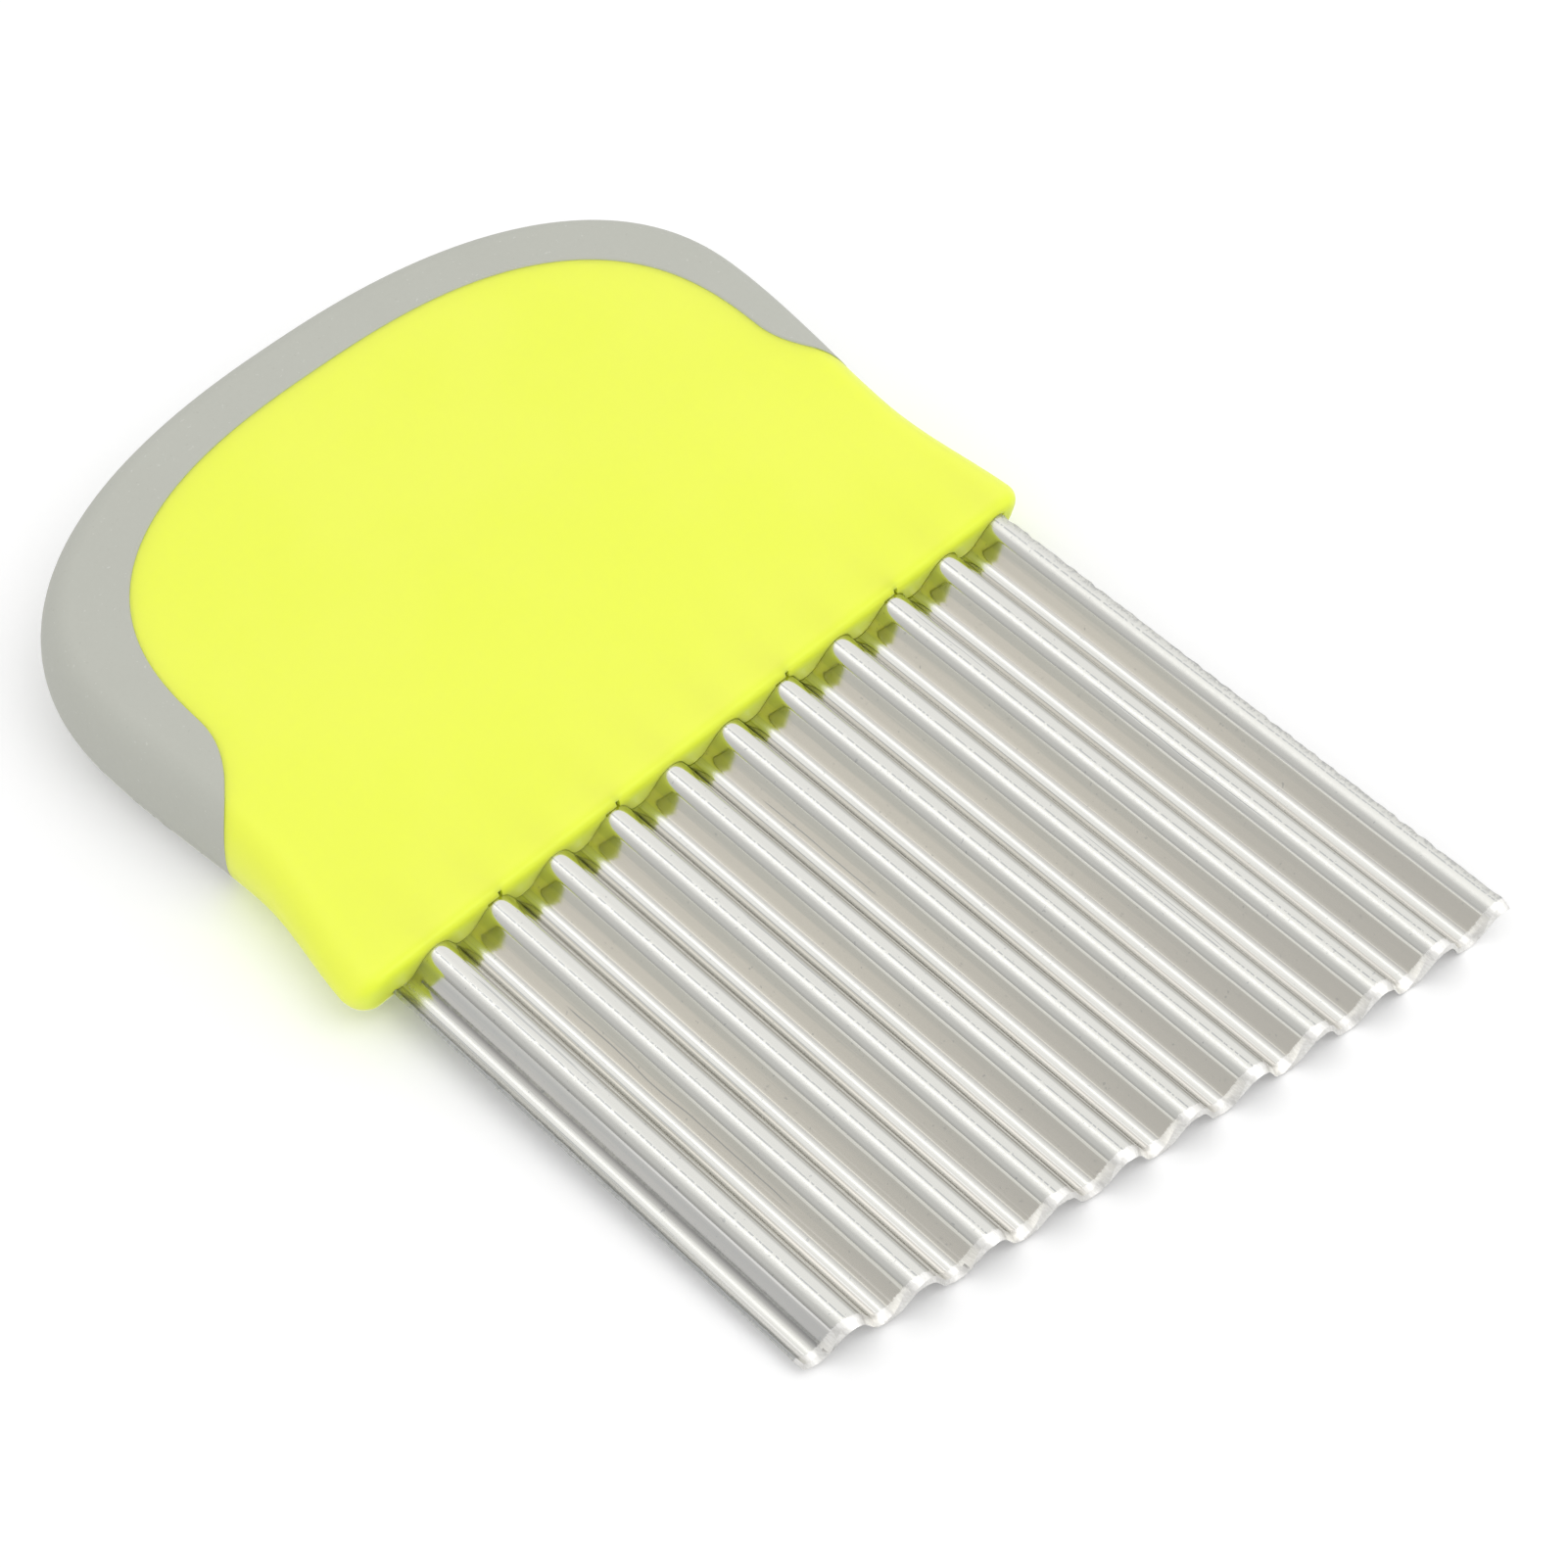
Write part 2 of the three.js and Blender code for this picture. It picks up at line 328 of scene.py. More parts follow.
def makeBlade():
    piece = drawSheet("crinkleBlade", halfSheet, blade["tang"], blade["rows"])
    for side in (-1, 1):
        bisectAt(spot(side * halfWidth, 0, 0), (side, 0, 0), True)
    front = (-skewSlope, -1, -blade["lean"])
    bisectAt(spot(0, edgeLine(0, 0) + blade["grind"], 0), front, False)
    bpy.ops.mesh.mark_sharp()
    bisectAt(spot(0, edgeLine(0, 0), 0), front, True)
    bpy.ops.object.vertex_group_add()
    weights = bpy.context.scene.tool_settings
    weights.vertex_group_weight = blade["land"] / blade["thickness"]
    bpy.ops.object.vertex_group_assign()
    bpy.ops.mesh.select_all(action="INVERT")
    weights.vertex_group_weight = 1.0
    bpy.ops.object.vertex_group_assign()
    for vert in editMesh().verts:
        x, y, z = local(vert.co)
        behind = y - edgeLine(x, z)
        fade = max(0, 1 - behind / blade["bowDepth"])
        vert.co.y += blade["bow"] * (x / halfWidth) ** 2 * fade * mm
        if behind < blade["edgeHair"]:
            dent = noise.noise(Vector((x * blade["nickFineness"], 0, z)))
            vert.co.y += blade["nick"] * dent * mm
    showEdit()
    bpy.ops.object.mode_set(mode="OBJECT")
    applyModifier(piece, "SOLIDIFY", {
        "thickness": blade["thickness"] * mm,
        "offset": 1.0,
        "use_even_offset": True,
        "vertex_group": piece.vertex_groups[0].name,
    })
    bpy.ops.object.mode_set(mode="EDIT")
    for vert in editMesh().verts:
        x, y = local(vert.co).xy
        side = math.copysign(1, x)
        near = max(0, 1 - (halfWidth - abs(x)) / blade["burrDepth"])
        dent = noise.noise(Vector((side, y * blade["burrFineness"], 0))) + blade["burrBias"]
        vert.co.x -= side * near * blade["burr"] * max(0, dent) * mm
    showEdit()
    seat()
    bpy.ops.object.mode_set(mode="OBJECT")
    smoothShade(piece, blade["sharpAngle"])
    return piece


# the handle's outer form, which the body and the grip share

handle = {
    "length": (gripHigh.y - bodyLow.y) / mm,
    "lipOverhang": 4.75,
    "neckWall": 2.45,
    "sideBulge": 1.5,
    "neckPlace": 20.5,
    "widestPlace": 46.0,
    "fullness": 2.35,
    "thickness": (bodyHigh.z - bodyLow.z) / mm,
    "bellyRise": 3.6,
    "bellyPlace": 33.5,
    "edgeRound": 4.0,
    "lipRound": 2.0,
    "lipFlatness": 4.0,
    "lipLean": 1.3,  # how far the lower lip stands back from the upper one
    "cornerRound": 3.0,
    "partingAngle": -36.0,  # the mould's parting line, a fine ridge low on the rim
    "partingHeight": 0.1,
    "partingWidth": 0.3,
    "cornerSteps": 8,
    "sideSteps": 18,
    "backSteps": 44,
    "roundSteps": 12,
    "sharpAngle": 40,
}
neckHalf = halfWidth + handle["neckWall"]
lipHalf = halfWidth + handle["lipOverhang"]
widestHalf = neckHalf + handle["sideBulge"]


def eased(share):
    return (1 - math.cos(math.pi * share)) / 2


def sideWidth(y):
    if y < handle["neckPlace"]:
        return lipHalf + (neckHalf - lipHalf) * eased(y / handle["neckPlace"])
    share = (y - handle["neckPlace"]) / (handle["widestPlace"] - handle["neckPlace"])
    return neckHalf + handle["sideBulge"] * eased(share)


def roundedBack(half, widest, back, fullness):
    points = []
    power = 2 / fullness
    for step in range(1, handle["backSteps"] + 1):
        angle = step / handle["backSteps"] * math.pi / 2
        across = max(0, math.cos(angle)) ** power if step < handle["backSteps"] else 0
        points.append((half * across, widest + (back - widest) * math.sin(angle) ** power))
    return points


def mirrored(half):
    return half + [(-x, y) for x, y in reversed(half[:-1])]


def handleOutline(inset, lipInset):
    corner = handle["cornerRound"] ** 2 / (handle["cornerRound"] + inset)
    cornerEnd = lipInset + corner
    cornerWidth = sideWidth(cornerEnd) - inset
    half = []
    for step in range(handle["cornerSteps"]):
        angle = step / handle["cornerSteps"] * math.pi / 2
        half.append((cornerWidth - corner * (1 - math.sin(angle)), cornerEnd - corner * math.cos(angle)))
    for start, end in ((cornerEnd, handle["neckPlace"]), (handle["neckPlace"], handle["widestPlace"])):
        for step in range(handle["sideSteps"]):
            y = start + (end - start) * step / handle["sideSteps"]
            half.append((sideWidth(y) - inset, y))
    half.append((widestHalf - inset, handle["widestPlace"]))
    backEnd = handle["length"] - inset
    back = roundedBack(widestHalf - inset, handle["widestPlace"], backEnd, handle["fullness"])
    return mirrored(half + back)


def halfThickness(y, sunk=0):
    share = min(1, max(0, y / handle["bellyPlace"]))
    rise = share * share * (3 - 2 * share)
    return handle["thickness"] / 2 - handle["bellyRise"] * (1 - rise) - sunk * rise


def lipSection(height):  # how far the lip's front stands back, at a share of its half thickness
    flatness = handle["lipFlatness"]
    rounding = 1 - (1 - abs(height) ** flatness) ** (1 / flatness)
    return handle["lipRound"] * rounding + handle["lipLean"] * (1 - height) / 2


def noseHeight():  # of the lip's foremost line
    flatness = handle["lipFlatness"]
    balance = (handle["lipLean"] / 2 / handle["lipRound"]) ** (1 / (flatness - 1))
    return balance / (1 + balance ** flatness) ** (1 / flatness)


def handleRing(angle, proud, sunk):
    drawnIn = 1 - math.cos(angle)
    lipBack = lipSection(math.sin(angle)) - lipSection(noseHeight())
    outline = handleOutline(handle["edgeRound"] * drawnIn - proud, lipBack - proud)
    return [spot(x, y, halfThickness(y, sunk) * math.sin(angle)) for x, y in outline]


def makeHandleForm(name, sunk):
    steps = handle["roundSteps"]
    levels = [(step / steps * math.pi / 2, 0) for step in range(-steps, steps + 1)]
    parting = math.radians(handle["partingAngle"])
    spread = handle["partingWidth"] / handle["thickness"]
    levels += [(parting - spread, 0), (parting, handle["partingHeight"]), (parting + spread, 0)]
    rings = [handleRing(angle, proud, sunk) for angle, proud in sorted(levels)]
    piece = loft(name, rings)
    for level in (0, len(rings) - 1):  # each face is ruled from side to side, up to its flat belly
        bpy.ops.mesh.select_all(action="DESELECT")
        bpy.ops.mesh.select_mode(type="EDGE")
        mesh = editMesh()
        number = mesh.verts.layers.int["ringSpot"]
        for edge in mesh.edges:
            onRing = all(abs(v.co.z - rings[level][v[number]].z) < hair for v in edge.verts)
            if edge.is_boundary and onRing:
                first, last = sorted(v[number] for v in edge.verts)
                onBelly = max(local(v.co).y for v in edge.verts) > handle["bellyPlace"]
                edge.select = not onBelly and last - first == 1
        showEdit()
        bpy.ops.mesh.bridge_edge_loops()
        bpy.ops.mesh.select_mode(type="VERT")
    closeShape()
    return piece


# where the lime face ends and the grip begins

grip = {
    "backWidth": 9.2,
    "sideWidth": 7.9,
    "start": 24.6,
    "waist": 37.5,
    "fullness": 2.6,
    "shift": 1.0,  # the lime face sits a little off the middle
    "flareSteps": 20,
    "reach": 40.0,  # the cutting tool's reach past the handle
    "gap": 0.04,
    "overlap": 0.03,
    "proud": 0.2,  # the band stands out from the lime face
    "seamRound": 0.35,
    "seamSteps": 4,
}


def faceOutline(margin):
    half = widestHalf - grip["sideWidth"] + margin
    start = grip["start"] + margin
    far = widestHalf + grip["reach"]
    path = [(far, -grip["reach"]), (far, start)]
    for step in range(grip["flareSteps"]):
        share = step / grip["flareSteps"]
        flare = (widestHalf - half) * (1 - share) ** 2
        path.append((half + flare, start + (grip["waist"] - start) * share))
    path.append((half, grip["waist"]))
    path += roundedBack(half, grip["waist"], handle["length"] - grip["backWidth"] + margin, grip["fullness"])
    return [(x + grip["shift"], y) for x, y in mirrored(path)]


def makeFaceTool(margin, rounding):  # an upright cut that opens out where it meets the handle's faces
    steps = grip["seamSteps"]
    levels = []
    for step in range(steps + 1):
        angle = step / steps * math.pi / 2
        levels.append((margin + rounding * (1 - math.cos(angle)), rounding * (1 - math.sin(angle))))
    upper = []
    for spread, below in levels:
        upper.append([(x, y, halfThickness(y) - below) for x, y in faceOutline(spread)])
    upper.append([(x, y, grip["reach"]) for x, y in faceOutline(margin + rounding)])
    lower = [[(x, y, -z) for x, y, z in ring] for ring in reversed(upper)]
    tool = loft("faceTool", [[spot(*point) for point in ring] for ring in lower + upper])
    closeShape()
    return tool


# the openings in the lip: a close slot for the tang, a wider mouth, and notched windows over some crests

mouth = {
    "gap": 0.1,
    "depth": 0.4,
    "windowCrests": (-4, -2, 1, 3),
    # places from the crest's top
    "window": {"left": -1.1, "right": 0.9, "bottom": -0.7, "top": 0.14, "depth": 1.4},
    "notch": {"left": 0.5, "right": 1.0, "bottom": -0.5, "top": 0.75, "depth": 1.4},
    "toolFront": -2.0,
    "toolRows": 3,
}
lipSlope = handle["lipLean"] / (handle["thickness"] - 2 * handle["bellyRise"])


def makeSlotTool(gap, depth, slope):
    tool = drawSheet("slotTool", halfSheet + gap, blade["tang"] + gap, mouth["toolRows"])
    for side in (-1, 1):
        bisectAt(spot(side * (halfWidth + gap), 0, 0), (side, 0, 0), True)
    bisectAt(spot(0, depth, 0), (0, 1, slope), True)
    seat()
    bpy.ops.object.mode_set(mode="OBJECT")
    applyModifier(tool, "SOLIDIFY", {
        "thickness": (blade["thickness"] + 2 * gap) * mm,
        "offset": 1.0,
        "use_even_offset": True,
    })
    return tool


def makeWindowTool(crest, left, right, bottom, top, depth):
    x = blade["crest"] + crest * blade["pitch"]
    crestTop = blade["height"] / 2 + halfSheet
    front = mouth["toolFront"]
    corners = ((left, front), (right, front), (right, depth), (left, depth))
    rings = []
    for z in (bottom, top):
        rings.append([spot(x + across, along, crestTop + z) for across, along in corners])
    tool = loft("windowTool", rings)
    seat()
    closeShape()
    return tool


def makeHandle():
    body = makeHandleForm("limeHandle", grip["proud"])
    band = makeHandleForm("softGripBand", 0)
    inside = makeFaceTool(grip["overlap"], 0)
    outside = makeFaceTool(0, grip["seamRound"])
    tools = [
        makeSlotTool(grip["gap"], blade["tang"] + grip["gap"], 0),
        makeSlotTool(mouth["gap"], mouth["depth"], lipSlope),
    ]
    for crest in mouth["windowCrests"]:
        tools.append(makeWindowTool(crest, **mouth["window"]))
        tools.append(makeWindowTool(crest, **mouth["notch"]))
    carve(body, inside, "INTERSECT")
    carve(band, outside, "DIFFERENCE")
    for tool in tools:
        carve(body, tool, "DIFFERENCE")
    for tool in tools + [inside, outside]:
        bpy.data.objects.remove(tool)
    for piece in (body, band):
        smoothShade(piece, handle["sharpAngle"])
        applyModifier(piece, "WEIGHTED_NORMAL", {"keep_sharp": True})
    return body, band


# finishes: a speckle's scale is in spots to the millimetre, and a span is where a mask starts and ends

steel = {
    "colour": (0.64, 0.637, 0.602, 1),
    "warm": (0.74, 0.705, 0.65, 1),  # painted reflection on the flanks, low down
    "cool": (0.615, 0.608, 0.572, 1),  # painted reflection on the flanks, higher up
    "fore": (0.585, 0.567, 0.54, 1),  # painted shade on the flanks, near the edge
    "dull": (0.39, 0.40, 0.40, 1),
    "ground": (0.88, 0.87, 0.845, 1),
    "honed": (0.78, 0.77, 0.74, 1),
    "grain": {"scale": 3.2, "detail": 3.0, "roughness": 0.7, "stretch": (1, 0.6, 1)},
    "streak": {"scale": 3.2, "detail": 4.0, "roughness": 0.7, "stretch": (1, 0.012, 1)},
    "wander": {"scale": 1.0, "stretch": (0.1, 0.09, 0.1)},
    "hone": {"scale": 4.0, "detail": 3.0, "roughness": 0.75, "stretch": (1, 0.25, 1)},
    "honeSpan": (0.42, 0.62),
    "crestRub": {"place": -0.68, "span": (0.25, 0.7)},  # where the press rubbed the sheet
    "troughRub": {"place": 0.5, "span": (0.15, 0.6)},
    "troughRubShare": 0.7,
    "drawPlace": -0.45,  # a dotted line beside the crest's top, which drifts to the right towards the edge
    "drawDrift": 0.0055,
    "drawWander": 0.1,
    "drawWidth": 0.12,
    "drawDots": {"scale": 2.2},
    "drawDotSpan": (0.36, 0.5),
    "foldStart": (-1.3, -1.1),  # the trough's shaded side, painted shade towards the lip and painted light near the edge
    "foldStop": (-0.22, -0.1),
    "troughLines": ((-0.23, 0.06, 1.0), (0.18, 0.08, 0.3), (0.78, 0.07, 0.3)),  # painted shade, dark lines in the trough: place, width, share
    "lipward": (-60.0, -30.0),  # the painted shade of the fold and the lines darkens from the edge to the lip
    "scratchWander": 0.5,
    "scratchWidth": 0.06,
    "scratchFade": 1.0,
    "pits": {"scale": 1.7, "detail": 1.0},
    "pitSpan": (0.735, 0.76),
    "fray": {"scale": 1.6, "detail": 4.0, "roughness": 0.75, "stretch": (1, 1.5, 1)},
    "fraySpan": (0.5, 0.58),
    "frayDepth": 1.1,
    "ragged": {"scale": 2.5, "detail": 3.0, "stretch": (1, 0, 1)},  # the upper limit of the ground edge
    "raggedDepth": 0.5,
    "groundFade": 0.25,
    "paintedGlintPlace": -1.78,  # a painted highlight, a bright line where a flank turns into the crest
    "paintedGlintWander": 0.15,
    "paintedGlintWidth": 0.11,
    "paintedGlintSpan": (-38.0, -18.0),
    "flank": {"place": -2.6, "span": (0.5, 1.0)},
    "bandRise": 0.9,
    "bandWander": 0.8,
    "bandSpan": (-2.25, -1.95),
    "foreStart": -15.0,
    "foreShare": 0.9,
    "leftDepth": 6.0,  # painted shade: the first flank on the left is darker
    "leftFade": 1.0,
    "leftShare": 0.55,
    "sidePlace": 0.5,  # a dark streak along the left side
    "sideWidth": 0.5,
    "sideSpan": (0.38, 0.5),
    "sideShare": 0.8,
    "dullDepth": 3.0,
    "darkens": {"draw": 0.8, "lines": 0.7, "fold": 0.2, "scratch": 0.8, "pits": 0.5, "fray": 0.6},
    "brightens": {"paintedGlint": 0.8, "fold": 0.7},
    "rough": {"base": 0.085, "streak": 0.06, "rubbed": 0.25, "dulled": 0.25, "ground": 0.25, "hone": 0.2},
    "heights": {
        "grain": 0.014,
        "streak": 0.0012,
        "draw": 0.004,
        "scratch": 0.006,
        "fray": 0.04,
        "hone": 0.02,
    },
}
# single scratches: wave counted from the sixth crest, place in the wave, start and end along the blade
scratches = (
    (-5, 0.42, -5.0, -24.0),
    (-5, 0.55, -6.0, -21.0),
    (-4, -2.6, -14.0, -47.0),
    (-2, 0.85, -20.0, -33.0),
    (0, -2.9, -9.0, -26.0),
    (2, 0.3, -38.0, -58.0),
    (3, 0.35, -4.0, -15.0),
    (4, -1.1, -25.0, -50.0),
    (5, 0.7, -27.0, -37.0),
)


def scratchMarks(across, along, wobble):
    fade = steel["scratchFade"]
    marks = 0
    for wave, offset, start, end in scratches:
        place = blade["crest"] + wave * blade["pitch"] + offset
        mark = (across - place + wobble).line(steel["scratchWidth"])
        mark = mark * along.between(end - fade, end + fade)
        marks = marks + mark * (1 - along.between(start - fade, start + fade))
    return marks


# painted shade: dark lines along each trough
def troughShadeLines(fromTrough):
    marks = 0
    for place, width, share in steel["troughLines"]:
        marks = marks + (fromTrough - place).line(width) * share
    return marks


def steelFinish():
    finish, shader, place = newFinish("pressedSteel")
    seatPoint = lipMiddle + Vector((blade["shift"] * mm, 0, 0))
    at = place.seenFrom(seatPoint, math.radians(blade["turn"]))
    across = at.part(0)
    along = at.part(1)
    fromCrest = (across - blade["crest"]).fromNearest(blade["pitch"])
    fromTrough = (across - blade["crest"] - blade["pitch"] / 2).fromNearest(blade["pitch"])
    fromSide = halfWidth - abs(across)
    grain = at.speckle(**steel["grain"])
    streak = at.speckle(**steel["streak"])
    wander = at.speckle(**steel["wander"]) - 0.5

    # what the press left: rubbed ridges and a dotted line on each crest; and painted shade in each trough, on
    # its shaded side and as dark lines, with a painted highlight where each flank turns into the crest
    rubbed = fromCrest.near(**steel["crestRub"])
    rubbed = rubbed + fromTrough.near(**steel["troughRub"]) * steel["troughRubShare"]
    draw = fromCrest + along * steel["drawDrift"] - steel["drawPlace"] + wander * steel["drawWander"]
    draw = draw.line(steel["drawWidth"]) * at.speckle(**steel["drawDots"]).between(*steel["drawDotSpan"])
    fold = fromTrough.between(*steel["foldStart"]) * (1 - fromTrough.between(*steel["foldStop"]))
    lines = troughShadeLines(fromTrough)
    lipward = along.between(*steel["lipward"])
    paintedGlint = (fromCrest - steel["paintedGlintPlace"] + wander * steel["paintedGlintWander"]).line(steel["paintedGlintWidth"])
    paintedGlint = paintedGlint * (1 - along.between(*steel["paintedGlintSpan"]))

    # wear
    scratch = scratchMarks(across, along, wander * steel["scratchWander"])
    pits = at.speckle(**steel["pits"]).between(*steel["pitSpan"])
    fray = 1 - fromSide.between(0, steel["frayDepth"])
    fray = fray * at.speckle(**steel["fray"]).between(*steel["fraySpan"])
    dulled = 1 - fromSide.between(0, steel["dullDepth"])

    # the ground edge
    bow = across * across * (blade["bow"] / halfWidth ** 2)
    behind = along + across * skewSlope + at.part(2) * blade["lean"] - bow + blade["reach"]
    ragged = at.speckle(**steel["ragged"]) * steel["raggedDepth"]
    ground = 1 - (behind + ragged).between(blade["grind"], blade["grind"] + steel["groundFade"])
    hone = at.speckle(**steel["hone"])
    groundColour = hone.between(*steel["honeSpan"]).mixColour(steel["honed"], steel["ground"])

    # painted reflection and shade: the flanks are banded, and painted darker near the edge and on the left
    flank = fromCrest.near(**steel["flank"])
    bands = (fromCrest * steel["bandRise"] + (streak - 0.5) * steel["bandWander"]).between(*steel["bandSpan"])
    tint = bands.mixColour(steel["warm"], steel["cool"])
    fore = 1 - along.between(-blade["reach"], steel["foreStart"])
    tint = (fore * steel["foreShare"]).mixColour(tint, steel["fore"])
    colour = flank.mixColour(steel["colour"], tint)
    darkens = steel["darkens"]
    # the dull colour marks real wear (dotted lines, scratches, pits, a frayed side) and painted shade in the
    # troughs
    worn = draw * darkens["draw"] + (lines * darkens["lines"] + fold * darkens["fold"]) * lipward
    worn = worn + scratch * darkens["scratch"] + pits * darkens["pits"] + fray * darkens["fray"]
    colour = worn.mixColour(colour, steel["dull"])
    # painted highlight: the bright line on each flank, and the fold near the edge
    brightens = steel["brightens"]
    bright = paintedGlint * brightens["paintedGlint"] + fold * (1 - lipward) * brightens["fold"]
    colour = bright.mixColour(colour, steel["ground"])
    # painted shade on the first flank on the left, with a dark streak along the left side
    leftEnd = halfWidth - steel["leftDepth"]
    leftward = (-1 * across).between(leftEnd, leftEnd + steel["leftFade"])
    side = (across + halfWidth - steel["sidePlace"]).line(steel["sideWidth"])
    side = side * streak.between(*steel["sideSpan"])
    shade = leftward * flank * steel["leftShare"] + side * steel["sideShare"]
    colour = shade.mixColour(colour, steel["dull"])

    rough = steel["rough"]
    sheetRough = rough["base"] + streak * rough["streak"] + rubbed * rough["rubbed"] * grain
    sheetRough = sheetRough + dulled * rough["dulled"]
    groundRough = hone * rough["hone"] + rough["ground"]
    heights = steel["heights"]
    sheetHeight = grain * rubbed * heights["grain"] + streak * heights["streak"] + fray * heights["fray"]
    sheetHeight = sheetHeight - draw * heights["draw"] - scratch * heights["scratch"]
    feed(shader, {
        "Base Color": ground.mixColour(colour, groundColour),
        "Metallic": 1.0,
        "Roughness": sheetRough * (1 - ground) + groundRough * ground,
        "Normal": (sheetHeight * (1 - ground) + hone * heights["hone"] * ground).bump(),
    })
    return finish


partingShare = math.sin(math.radians(handle["partingAngle"]))


def partingFlash(at, look):  # the broken pale line on the mould's parting ridge
    rise = at.part(1).between(0, handle["bellyPlace"]) * handle["bellyRise"]
    half = rise + handle["thickness"] / 2 - handle["bellyRise"]
    breaks = at.speckle(**look["flashBreaks"]).between(*look["flashSpan"])
    return (at.part(2) - half * partingShare).line(look["flashWidth"]) * breaks * look["flashShare"]


lime = {
    "colour": (0.874, 1.0, 0.103, 1),
    "deep": (0.862, 0.997, 0.09, 1),
    "cloud": {"scale": 0.045, "detail": 3.0},
    "cloudSpan": (0.35, 0.65),
    "peel": {"scale": 0.9},
    "fine": {"scale": 7.0},
    "scuff": {"scale": 1.1, "detail": 3.0, "roughness": 0.7, "stretch": (1, 0.12, 1)},
    "scuffSpan": (0.66, 0.74),
    "lip": (0.80, 0.99, 0.045, 1),  # painted shade: greener and darker where it meets the steel
    "lipSpan": (0.2, 1.8),
    "lipShare": 0.8,
    "inside": (0.06, 0.075, 0.01, 1),  # painted shade, dark in the slot over the crests, behind the lip
    "insideDepth": {"place": 1.2, "span": (0.5, 0.8)},
    "insideBottom": (2.0, 2.2),
    "insideTop": (2.6, 2.9),
    "insideFade": 1.0,
    "flash": (0.93, 0.98, 0.55, 1),
    "flashWidth": 0.2,
    "flashBreaks": {"scale": 0.3},
    "flashSpan": (0.3, 0.5),
    "flashShare": 0.8,
    "rough": {"base": 0.33, "fine": 0.06, "scuff": 0.06},
    "heights": {"peel": 0.004, "fine": 0.001, "scuff": 0.0012},
    "gloss": 0.4,
    "milkiness": 0.6,
    "milkDepth": 2.0,
    "milkSpread": (1.0, 1.0, 0.35),
}


def limeFinish():
    finish, shader, place = newFinish("limePlastic")
    at = place.seenFrom(lipMiddle, 0)
    peel = at.speckle(**lime["peel"])
    fine = at.speckle(**lime["fine"])
    scuff = at.speckle(**lime["scuff"]).between(*lime["scuffSpan"])
    cloud = at.speckle(**lime["cloud"]).between(*lime["cloudSpan"])
    colour = cloud.mixColour(lime["colour"], lime["deep"])
    # painted shade, greener and darker near the lip
    nearLip = 1 - at.part(1).between(*lime["lipSpan"])
    colour = (nearLip * lime["lipShare"]).mixColour(colour, lime["lip"])
    colour = partingFlash(at, lime).mixColour(colour, lime["flash"])
    # painted shade inside the slot over the crests
    height = at.part(2)
    inside = at.part(1).near(**lime["insideDepth"])
    inside = inside * height.between(*lime["insideBottom"]) * (1 - height.between(*lime["insideTop"]))
    inside = inside * (1 - abs(at.part(0)).between(halfWidth, halfWidth + lime["insideFade"]))
    colour = inside.mixColour(colour, lime["inside"])
    rough = lime["rough"]
    heights = lime["heights"]
    feed(shader, {
        "Base Color": colour,
        "Roughness": rough["base"] + fine * rough["fine"] + scuff * rough["scuff"],
        "Normal": (peel * heights["peel"] + fine * heights["fine"] - scuff * heights["scuff"]).bump(),
        "Specular IOR Level": lime["gloss"],
        "Subsurface Weight": lime["milkiness"],
        "Subsurface Radius": lime["milkSpread"],
        "Subsurface Scale": lime["milkDepth"] * mm,
    })
    return finish


rubber = {
    "colour": (0.515, 0.522, 0.468, 1),
    "worn": (0.44, 0.445, 0.395, 1),
    "cloud": {"scale": 0.06, "detail": 3.0},
    "cloudShare": 0.4,
    "mottle": {"scale": 1.6, "detail": 3.0, "roughness": 0.65},
    "mottleShare": 0.3,
    "fine": {"scale": 6.0, "detail": 3.0, "roughness": 0.6},
    "dusty": (0.60, 0.605, 0.56, 1),
    "dust": {"scale": 2.2, "detail": 1.0},
    "dustSpan": (0.73, 0.755),
    "dustShare": 0.6,
    "nicks": {"scale": 1.9, "detail": 1.0},
    "nickSpan": (0.74, 0.76),
    "nickShare": 0.6,
    "flash": (0.78, 0.78, 0.72, 1),
    "flashWidth": 0.22,
    "flashBreaks": {"scale": 0.55},
    "flashSpan": (0.38, 0.48),
    "flashShare": 0.8,
    "rough": {"base": 0.6, "mottle": 0.12},
    "heights": {"fine": 0.006, "mottle": 0.008},
}


def gripFinish():
    finish, shader, place = newFinish("greyRubber")
    at = place.seenFrom(lipMiddle, 0)
    cloud = at.speckle(**rubber["cloud"])
    mottle = at.speckle(**rubber["mottle"])
    fine = at.speckle(**rubber["fine"])
    dust = at.speckle(**rubber["dust"]).between(*rubber["dustSpan"])
    nicks = at.speckle(**rubber["nicks"]).between(*rubber["nickSpan"])
    wear = cloud * rubber["cloudShare"] + mottle * rubber["mottleShare"]
    colour = wear.mixColour(rubber["colour"], rubber["worn"])
    colour = (dust * rubber["dustShare"]).mixColour(colour, rubber["dusty"])
    colour = (nicks * rubber["nickShare"]).mixColour(colour, rubber["worn"])
    colour = partingFlash(at, rubber).mixColour(colour, rubber["flash"])
    rough = rubber["rough"]
    heights = rubber["heights"]
    feed(shader, {
        "Base Color": colour,
        "Roughness": rough["base"] + mottle * rough["mottle"],
        "Normal": (fine * heights["fine"] + mottle * heights["mottle"]).bump(),
    })
    return finish


bladePiece = makeBlade()
print("blade made:", len(bladePiece.data.polygons), "faces")
bodyPiece, bandPiece = makeHandle()
print("handle made:", len(bodyPiece.data.polygons), "and", len(bandPiece.data.polygons), "faces")
dress(bladePiece, "corrugated_blade", steelFinish())
dress(bodyPiece, "handle_body", limeFinish())
dress(bandPiece, "soft_grip", gripFinish())
print("finishes on")


# the studio

